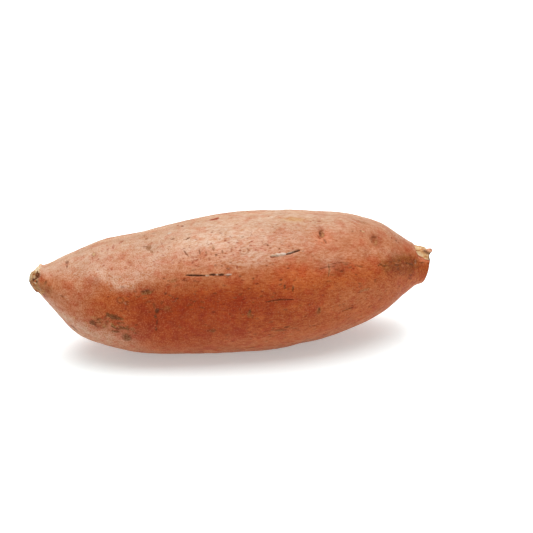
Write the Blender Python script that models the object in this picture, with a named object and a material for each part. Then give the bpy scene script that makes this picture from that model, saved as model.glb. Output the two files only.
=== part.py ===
"""A whole sweet potato, lying on its flattest side.

The root grew as one piece, so it is one closed solid. Rings of points are set along its
length, from the snapped stub of the thin root at the left end to the torn neck at the right
end. +X runs along the root, +Y points away from the front, +Z is up, and the origin is under
the middle of the body, on the surface that it lies on. Tables are in millimetres and degrees,
and an angle round the root is 0 at the back, 90 at the top and 180 at the front.
"""

from collections import namedtuple

import bmesh
import bpy
import numpy as np

NODE_NAME = "sweet_potato"
MM = 0.001

# Driving dimensions
LENGTH = 200.0
STUB_REACH = 4.2
FLAT_SPOT_DEPTH = 1.5

# The body, ring by ring: how wide and high it is, and where its middle lies
Station = namedtuple("Station", "along half_width half_height aside up")
STATIONS = (
    Station(5.0, 6.3, 6.2, -0.6, 43.9),
    Station(10.0, 10.4, 9.9, -0.4, 40.8),
    Station(20.0, 18.4, 18.2, 0.0, 35.5),
    Station(36.0, 26.6, 25.3, 0.4, 33.5),
    Station(56.0, 31.0, 29.5, 0.8, 31.8),
    Station(78.0, 34.0, 32.5, 0.8, 32.9),
    Station(100.0, 35.8, 34.2, 0.0, 34.2),
    Station(122.0, 35.6, 34.2, -1.0, 35.0),
    Station(144.0, 32.8, 31.4, -1.5, 36.0),
    Station(162.0, 28.6, 27.6, -1.0, 37.0),
    Station(177.0, 22.0, 21.4, -0.5, 37.4),
    Station(187.0, 14.6, 14.2, 0.0, 36.9),
    Station(193.0, 10.6, 10.4, 0.0, 36.2),
    Station(197.5, 9.4, 9.2, 0.0, 35.8),
)

# Lengthwise swells and furrows that give the root its soft corners
Ridge = namedtuple("Ridge", "angle half_width along reach height")
RIDGES = (
    Ridge(142, 17, 95, 45, 1.1),
    Ridge(98, 20, 150, 30, 0.6),
    Ridge(118, 9, 96, 30, -0.5),
    Ridge(205, 16, 60, 38, 0.8),
    Ridge(172, 12, 128, 34, -0.7),
    Ridge(38, 15, 118, 50, 1.0),
    Ridge(15, 10, 80, 44, -0.8),
    Ridge(336, 18, 100, 52, 0.9),
    Ridge(308, 9, 132, 30, -0.6),
    Ridge(226, 10, 150, 28, -0.6),
)

# Eyes, where fine roots grew, and the creases across the root. Depth is inwards.
Dent = namedtuple("Dent", "along angle reach_along reach_round depth")
DENTS = (
    Dent(142, 113, 4.0, 5.0, 1.2),
    Dent(169, 122, 3.8, 5.0, 0.9),
    Dent(59, 109, 3.5, 4.0, 0.7),
    Dent(54, 152, 4.5, 3.2, 0.7),
    Dent(38, 186, 9.0, 7.0, 0.8),
    Dent(59, 176, 2.8, 13.0, 0.8),
    Dent(143, 151, 2.8, 12.0, 0.6),
    Dent(180, 148, 7.0, 8.0, 0.9),
    Dent(123, 158, 4.5, 4.0, 0.5),
    Dent(96, 212, 3.2, 9.0, 0.6),
    Dent(158, 208, 4.0, 4.5, 0.8),
    Dent(48, 42, 3.6, 4.6, 1.0),
    Dent(90, 22, 4.0, 5.0, 1.1),
    Dent(124, 56, 3.6, 4.4, 0.9),
    Dent(152, 350, 4.0, 5.0, 1.0),
    Dent(68, 332, 3.8, 4.6, 0.9),
    Dent(168, 28, 2.8, 11.0, 0.7),
    Dent(30, 300, 3.4, 4.4, 0.7),
    Dent(112, 318, 3.0, 10.0, 0.7),
    Dent(134, 236, 3.8, 4.8, 0.8),
)

# Slow waves of the whole skin: waves round the root, their height as a share of the radius,
# their phase in degrees, and how far that phase turns over the length
Wave = namedtuple("Wave", "count share phase turn")
WAVES = (
    Wave(3, 0.012, 69, -138),
    Wave(5, 0.008, -23, 229),
    Wave(7, 0.003, 40, 310),
)
WAVE_FADE = 40.0

# The right end was snapped off and leans out at its top, where a flake is torn away aslant.
# A knob of skin stands at the far end of the flake.
LEAN = 0.26
LEAN_REACH = 12.0
TEAR_UP = 6.9
TEAR_SLOPE = 0.47
TEAR_LENGTH = 5.0
TEAR_WALL = 2.5
KNOB_ASIDE = 3.4
KNOB_RADIUS = 2.0
KNOB_OUT = 2.4
KNOB_UP = 0.8

# Rings that close the ends: share of the last ring's size, and reach outwards along X
Cap = namedtuple("Cap", "share reach")
STUB_CAPS = (Cap(0.90, 0.5), Cap(0.80, 1.5), Cap(0.62, 2.8), Cap(0.34, 3.8))
STUB_RAGGED = 0.07
NECK_CAPS = (Cap(0.90, -0.3), Cap(0.72, -0.8), Cap(0.54, -0.9), Cap(0.30, -0.6))
NECK_RAGGED = 0.04

RINGS = 68
SEGMENTS = 52
RINGS_TO_ENDS = 0.55


def smooth(x, xs, ys):
    """A curve through the points (xs, ys), with the slope at each taken from its neighbours."""
    slope = np.gradient(ys, xs)
    i = np.clip(np.searchsorted(xs, x, side="right") - 1, 0, len(xs) - 2)
    span = xs[i + 1] - xs[i]
    t = (x - xs[i]) / span
    start = (2 * t**3 - 3 * t**2 + 1) * ys[i] + (t**3 - 2 * t**2 + t) * span * slope[i]
    end = (3 * t**2 - 2 * t**3) * ys[i + 1] + (t**3 - t**2) * span * slope[i + 1]
    return start + end


def hill(distance):
    """1 at no distance, falling smoothly to nothing at about 2."""
    return np.exp(-(distance**2))


def turn_from(angle, centre):
    """Degrees from centre to angle, by the shorter way round."""
    return (angle - centre + 180.0) % 360.0 - 180.0


def ease(t):
    t = np.clip(t, 0.0, 1.0)
    return t * t * (3.0 - 2.0 * t)


def swell(along, angle):
    """How much the slow waves add to the radius, as a share of it."""
    inside = ease(np.minimum(along - STATIONS[0].along, STATIONS[-1].along - along) / WAVE_FADE)
    total = 0.0
    for wave in WAVES:
        turned = wave.count * angle + wave.phase + wave.turn * along / LENGTH
        total = total + wave.share * np.cos(np.radians(turned))
    return inside * total


def relief(along, angle, radius):
    """How far the ridges and dents move the skin outwards, in millimetres."""
    height = np.zeros_like(along)
    for ridge in RIDGES:
        across = turn_from(angle, ridge.angle) / ridge.half_width
        height += ridge.height * hill(across) * hill((along - ridge.along) / ridge.reach)
    for dent in DENTS:
        across = np.radians(turn_from(angle, dent.angle)) * radius / dent.reach_round
        height -= dent.depth * hill(across) * hill((along - dent.along) / dent.reach_along)
    return height


def skin(along, angle):
    """Points of the skin at places along the root and angles round it, in millimetres."""
    table = np.array(STATIONS)
    width, high, aside, up = (smooth(along, table[:, 0], table[:, k]) for k in range(1, 5))
    grown = 1.0 + swell(along, angle)
    lift = relief(along, angle, (width + high) / 2)
    turn = np.radians(angle)
    y = (width * grown + lift) * np.cos(turn)
    z = (high * grown + lift) * np.sin(turn)
    return np.stack([along - LENGTH / 2, aside + y, up + z], axis=-1)


def torn(points, along):
    """The points with the neck's end leaning, the flake off its top and the knob beside it."""
    end = STATIONS[-1]
    x, y, z = np.moveaxis(points, -1, 0)
    near_end = np.clip(1.0 - (end.along - along) / LEAN_REACH, 0.0, 1.0) ** 2
    x = x + near_end * LEAN * (z - end.up)
    to_end = end.along - LENGTH / 2 - x
    ceiling = end.up + TEAR_UP + TEAR_SLOPE * to_end
    z = np.minimum(z, ceiling + TEAR_WALL * np.maximum(to_end - TEAR_LENGTH, 0.0))

    off_rim = (to_end + LEAN * TEAR_UP, y - KNOB_ASIDE, z - end.up - TEAR_UP)
    knob = hill(np.sqrt(sum(part**2 for part in off_rim)) / KNOB_RADIUS)
    return np.stack([x + KNOB_OUT * knob, y, z + KNOB_UP * knob], axis=-1)


def cap_rings(ring, centre, caps, outward, ragged):
    """The rings that close an end, from its last ring of skin towards the tip."""
    turn = np.linspace(0.0, 2 * np.pi, len(ring), endpoint=False)
    rings = []
    for k, cap in enumerate(caps):
        uneven = 1.0 + ragged * (np.cos(3 * turn + k) + 0.6 * np.cos(5 * turn - 2 * k))
        loop = centre + (ring - centre) * (cap.share * uneven)[:, None]
        loop[:, 0] += outward * cap.reach
        rings.append(loop)
    return rings


def body_places():
    """Places of the rings along the root, closer together towards the ends."""
    even = np.linspace(0.0, 1.0, RINGS)
    crowded = (1.0 - np.cos(np.pi * even)) / 2
    share = even + RINGS_TO_ENDS * (crowded - even)
    return STATIONS[0].along + share * (STATIONS[-1].along - STATIONS[0].along)


def potato_points():
    """Every ring from the left tip to the right end, and the two tips, in the part's frame."""
    angle = np.linspace(0.0, 360.0, SEGMENTS, endpoint=False)
    along, turn = np.meshgrid(body_places(), angle, indexing="ij")
    grid = skin(along, turn)
    first, last = STATIONS[0], STATIONS[-1]
    left = np.array([first.along - LENGTH / 2, first.aside, first.up])
    right = np.array([last.along - LENGTH / 2, last.aside, last.up])
    stub = cap_rings(grid[0], left, STUB_CAPS, -1.0, STUB_RAGGED)
    neck = cap_rings(grid[-1], right, NECK_CAPS, 1.0, NECK_RAGGED)
    rings = np.array([*reversed(stub), *torn(grid, along), *torn(np.array(neck), last.along)])
    tips = np.array([left - [STUB_REACH, 0.0, 0.0], right])
    return settle(rings, tips)


def settle(rings, tips):
    """Presses the small flat spot that it lies on, and puts the origin under its middle."""
    floor = rings[..., 2].min() + FLAT_SPOT_DEPTH
    rings[..., 2] = np.maximum(rings[..., 2], floor)
    every = np.concatenate([rings.reshape(-1, 3), tips])
    low, high = every.min(axis=0), every.max(axis=0)
    origin = np.array([(low[0] + high[0]) / 2, (low[1] + high[1]) / 2, floor])
    return (rings - origin) * MM, (tips - origin) * MM


def skin_material():
    material = bpy.data.materials.new("sweet_potato_skin")
    material.use_nodes = True
    shader = material.node_tree.nodes["Principled BSDF"]
    shader.inputs["Base Color"].default_value = (0.50, 0.20, 0.10, 1.0)
    shader.inputs["Roughness"].default_value = 0.62
    shader.inputs["Metallic"].default_value = 0.0
    return material


def build_potato():
    rings, tips = potato_points()
    mesh = bmesh.new()
    loops = [[mesh.verts.new(point) for point in ring] for ring in rings]
    for here, there in zip(loops, loops[1:]):
        for k in range(SEGMENTS):
            after = (k + 1) % SEGMENTS
            mesh.faces.new((here[k], here[after], there[after], there[k]))
    for loop, tip in ((loops[0], tips[0]), (loops[-1], tips[1])):
        point = mesh.verts.new(tip)
        for k in range(SEGMENTS):
            mesh.faces.new((loop[k], loop[(k + 1) % SEGMENTS], point))
    bmesh.ops.recalc_face_normals(mesh, faces=mesh.faces)
    data = bpy.data.meshes.new(NODE_NAME)
    mesh.to_mesh(data)
    mesh.free()
    data.shade_smooth()
    data.materials.append(skin_material())
    potato = bpy.data.objects.new(NODE_NAME, data)
    bpy.context.scene.collection.objects.link(potato)
    return potato


def clear_scene():
    for item in list(bpy.data.objects):
        bpy.data.objects.remove(item)


clear_scene()
build_potato()
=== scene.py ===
"""A whole sweet potato on a plain pale floor, in soft studio light.

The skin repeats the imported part's shape from the same named values, with points that are closer
together, and adds what is too fine for the part: eyes, cracks, scars, flakes, soil and the torn
fibres of both ends. Tables are in millimetres and degrees. An angle round the root is 0 at the
back, 90 at the top, 180 at the front and 270 underneath.
"""

import math
from collections import namedtuple

import bmesh
import bpy
import numpy as np
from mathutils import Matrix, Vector


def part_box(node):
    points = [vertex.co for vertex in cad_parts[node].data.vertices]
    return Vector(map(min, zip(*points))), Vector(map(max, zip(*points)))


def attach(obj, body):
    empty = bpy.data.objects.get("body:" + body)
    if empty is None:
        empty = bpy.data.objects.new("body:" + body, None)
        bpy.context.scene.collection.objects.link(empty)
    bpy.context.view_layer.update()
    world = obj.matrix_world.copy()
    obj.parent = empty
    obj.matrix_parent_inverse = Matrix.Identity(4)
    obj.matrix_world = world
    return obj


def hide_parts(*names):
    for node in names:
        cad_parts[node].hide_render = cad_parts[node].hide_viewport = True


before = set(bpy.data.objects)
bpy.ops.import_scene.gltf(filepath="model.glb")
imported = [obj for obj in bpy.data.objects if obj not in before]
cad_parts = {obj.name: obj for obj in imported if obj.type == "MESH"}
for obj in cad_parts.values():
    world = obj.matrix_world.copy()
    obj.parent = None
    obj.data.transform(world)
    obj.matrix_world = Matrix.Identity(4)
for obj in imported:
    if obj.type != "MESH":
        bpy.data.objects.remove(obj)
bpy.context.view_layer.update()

NODE_NAME = "sweet_potato"
MM = 0.001

# Driving dimensions, as in the part
LENGTH = 200.0
STUB_REACH = 4.2
FLAT_SPOT_DEPTH = 1.5

Station = namedtuple("Station", "along half_width half_height aside up")
STATIONS = (
    Station(5.0, 6.3, 6.2, -0.6, 43.9),
    Station(10.0, 10.4, 9.9, -0.4, 40.8),
    Station(20.0, 18.4, 18.2, 0.0, 35.5),
    Station(36.0, 26.6, 25.3, 0.4, 33.5),
    Station(56.0, 31.0, 29.5, 0.8, 31.8),
    Station(78.0, 34.0, 32.5, 0.8, 32.9),
    Station(100.0, 35.8, 34.2, 0.0, 34.2),
    Station(122.0, 35.6, 34.2, -1.0, 35.0),
    Station(144.0, 32.8, 31.4, -1.5, 36.0),
    Station(162.0, 28.6, 27.6, -1.0, 37.0),
    Station(177.0, 22.0, 21.4, -0.5, 37.4),
    Station(187.0, 14.6, 14.2, 0.0, 36.9),
    Station(193.0, 10.6, 10.4, 0.0, 36.2),
    Station(197.5, 9.4, 9.2, 0.0, 35.8),
)

Ridge = namedtuple("Ridge", "angle half_width along reach height")
RIDGES = (
    Ridge(142, 17, 95, 45, 1.1),
    Ridge(98, 20, 150, 30, 0.6),
    Ridge(118, 9, 96, 30, -0.5),
    Ridge(205, 16, 60, 38, 0.8),
    Ridge(172, 12, 128, 34, -0.7),
    Ridge(38, 15, 118, 50, 1.0),
    Ridge(15, 10, 80, 44, -0.8),
    Ridge(336, 18, 100, 52, 0.9),
    Ridge(308, 9, 132, 30, -0.6),
    Ridge(226, 10, 150, 28, -0.6),
)

Dent = namedtuple("Dent", "along angle reach_along reach_round depth")
DENTS = (
    Dent(142, 113, 4, 5, 1.2),
    Dent(169, 122, 3.8, 5, 0.9),
    Dent(59, 109, 3.5, 4, 0.7),
    Dent(54, 152, 4.5, 3.2, 0.7),
    Dent(38, 186, 9, 7, 0.8),
    Dent(59, 176, 2.8, 13, 0.8),
    Dent(143, 151, 2.8, 12, 0.6),
    Dent(180, 148, 7, 8, 0.9),
    Dent(123, 158, 4.5, 4, 0.5),
    Dent(96, 212, 3.2, 9, 0.6),
    Dent(158, 208, 4, 4.5, 0.8),
    Dent(48, 42, 3.6, 4.6, 1),
    Dent(90, 22, 4, 5, 1.1),
    Dent(124, 56, 3.6, 4.4, 0.9),
    Dent(152, 350, 4, 5, 1),
    Dent(68, 332, 3.8, 4.6, 0.9),
    Dent(168, 28, 2.8, 11, 0.7),
    Dent(30, 300, 3.4, 4.4, 0.7),
    Dent(112, 318, 3, 10, 0.7),
    Dent(134, 236, 3.8, 4.8, 0.8),
)

Wave = namedtuple("Wave", "count share phase turn")
WAVES = (
    Wave(3, 0.012, 69, -138),
    Wave(5, 0.008, -23, 229),
    Wave(7, 0.003, 40, 310),
)
WAVE_FADE = 40.0

# The neck's end leans, and a flake has torn off it beside a small knob
LEAN = 0.26
LEAN_REACH = 12.0
TEAR_UP = 6.9
KNOB_ASIDE = 3.4

# The flake and the knob in more detail than the part has
FLAKE_UP = 7.2
FLAKE_SLOPE = 0.22
FLAKE_FALL = 0.20
FLAKE_LENGTH = 4.2
FLAKE_WALL = 3.5
KNOB_FORWARD = 2.6
KNOB_RADIUS = 1.9
KNOB_BLUNTNESS = 1.5
KNOB_OUT = 2.0
KNOB_UP = 1.2
KNOB_PLACE = (197.6, 78.0)

# The knob is dark round its foot, on the side that faces the front, and paler at its tip
KNOB_SHADE_ANGLE = 76.0
KNOB_SHADE_FADE = 8.0
KNOB_FOOT_SHARE = 0.35
KNOB_FOOT_WIDTH = 0.3
KNOB_FOOT_STRENGTH = 0.9
KNOB_TIP_GAIN = 3.0
KNOB_TIP_START = 1.6

# How the face of each end narrows, as shares of its rim, and reaches out, and the waves that make
# it ragged
Cap = namedtuple("Cap", "share reach")
STUB_CAPS = (Cap(0.90, 0.5), Cap(0.80, 1.5), Cap(0.62, 2.8), Cap(0.34, 3.8))
STUB_RAGGED = 0.07
NECK_CAPS = (Cap(0.90, -0.3), Cap(0.72, -0.8), Cap(0.54, -0.9), Cap(0.30, -0.6))
NECK_RAGGED = 0.04
Tooth = namedtuple("Tooth", "count share twist")
TEETH = (Tooth(3, 1.0, 1.0), Tooth(5, 0.6, -2.0))

# Colours of the skin, the flesh and the soil, as red, green and blue out of 255. Some also serve as
# painted light: deep as painted shade low on the front, pale and blush as painted sheen over the top.
SHADES = {
    "tan": (170, 132, 106),
    "blush": (186, 148, 124),
    "rose": (176, 122, 94),
    "pale": (204, 172, 148),
    "salmon": (170, 100, 64),
    "ember": (178, 82, 37),
    "orange": (160, 74, 30),
    "deep": (136, 39, 0),
    "rust": (124, 42, 12),
    "bark": (98, 50, 18),
    "umber": (78, 36, 8),
    "chestnut": (120, 58, 6),
    "cork": (124, 74, 36),
    "clay": (124, 84, 50),
    "soil": (92, 52, 18),
    "night": (60, 26, 6),
    "ash": (178, 156, 138),
    "ivory": (200, 176, 142),
    "cream": (180, 150, 112),
    "straw": (170, 126, 78),
    "moss": (116, 80, 42),
}

# What the grain of the skin multiplies its colour by, from its darkest to its palest
WARMER = (0.93, 0.67, 0.36, 1.0)
COOLER = (1.49, 1.93, 2.34, 1.0)

# The skin's colour round the root. It is palest along the top and deepest low on the front, partly its
# own colour and partly painted light from above and painted shade below.
Tone = namedtuple("Tone", "angle shade")
TONES = (
    Tone(0, "salmon"),
    Tone(40, "rose"),
    Tone(70, "tan"),
    Tone(98, "tan"),
    Tone(124, "rose"),
    Tone(142, "salmon"),
    Tone(156, "orange"),
    Tone(205, "orange"),
    Tone(235, "salmon"),
    Tone(290, "orange"),
    Tone(330, "salmon"),
    Tone(360, "salmon"),
)

# Wide stretches of skin that differ from the tone round them. Some of them are painted light: the deep
# zones are partly painted shade low on the front, the pale and blush zones over the top front are
# partly painted sheen of the lamp above, and the cork band along the far crown is painted shade. The
# reach along is in millimetres and the reach round in degrees of angle, and both fade smoothly.
Zone = namedtuple("Zone", "along angle reach_along reach_round shade strength")
ZONES = (
    # Painted shade, partly the skin's redder lower side: the deep zones below darken and redden the
    # lower front.
    Zone(60, 176, 17, 18, "deep", 0.88),
    Zone(86, 166, 28, 12, "deep", 0.85),
    Zone(112, 169, 26, 10, "deep", 0.5),
    Zone(84, 196, 44, 20, "deep", 0.75),
    Zone(46, 191, 8, 9, "deep", 0.45),
    Zone(127, 150, 14, 10, "ember", 0.85),
    Zone(14, 160, 12, 34, "salmon", 0.6),
    Zone(28, 212, 18, 22, "salmon", 0.6),
    Zone(34, 207, 14, 12, "blush", 0.36),
    Zone(24, 234, 24, 30, "tan", 0.62),
    # Partly painted sheen: the pale and blush zones below stand in for the soft reflection of the lamp
    # above, in a band over the top front and on the ridges, over the skin's own paler top.
    Zone(50, 135, 9, 8, "blush", 0.45),
    Zone(27, 120, 11, 12, "blush", 0.38),
    Zone(92, 112, 26, 11, "pale", 0.48),
    Zone(61, 121, 3, 8, "blush", 0.6),
    Zone(84, 96, 24, 6, "blush", 0.5),
    Zone(106, 131, 14, 8, "blush", 0.6),
    Zone(172, 124, 26, 18, "salmon", 0.85),
    Zone(152, 124, 10, 10, "salmon", 0.4),
    Zone(28, 96, 24, 12, "blush", 0.8),
    Zone(17, 168, 8, 14, "rose", 0.45),
    Zone(18, 207, 14, 18, "blush", 0.6),
    Zone(24, 148, 8, 10, "rose", 0.45),
    Zone(114, 88, 44, 9, "pale", 0.42),
    Zone(54, 163, 11, 13, "rust", 0.38),
    Zone(65, 149, 9, 6, "rust", 0.25),
    Zone(87, 127, 8, 6, "salmon", 0.38),
    Zone(45, 112, 8, 8, "salmon", 0.25),
    # Painted sheen in the band where the lamp above is reflected.
    Zone(83, 108, 7, 6, "pale", 0.4),
    Zone(168, 104, 10, 8, "rose", 0.35),
    Zone(176, 92, 24, 18, "salmon", 0.36),
    Zone(145, 141, 7, 6, "blush", 0.36),
    Zone(160, 145, 14, 12, "ember", 0.5),
    Zone(170, 135, 18, 7, "rose", 0.5),
    Zone(192, 138, 9, 40, "orange", 0.7),
    # Painted shade, partly the skin's own colour: deep low on the front of the neck.
    Zone(197, 150, 6, 30, "deep", 0.35),
    Zone(128, 190, 18, 12, "rust", 0.26),
    Zone(158, 178, 18, 14, "salmon", 0.4),
    Zone(112, 206, 34, 10, "salmon", 0.35),
    # Painted shade: a darker band along the far side of the crown dulls the rim that the lamps light.
    Zone(100, 58, 105, 26, "cork", 0.3),
    Zone(62, 22, 26, 20, "rose", 0.6),
    Zone(140, 350, 34, 22, "ember", 0.45),
    Zone(104, 318, 26, 16, "tan", 0.4),
    Zone(30, 330, 20, 30, "salmon", 0.5),
    Zone(166, 40, 22, 18, "blush", 0.5),
    Zone(90, 270, 50, 30, "ember", 0.4),
    Zone(131, 95, 7, 5, "straw", 0.35),
)
ZONE_EDGE_BROAD = 0.14
ZONE_EDGE_MIDDLE = 0.10
MOTTLE = 0.04
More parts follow.
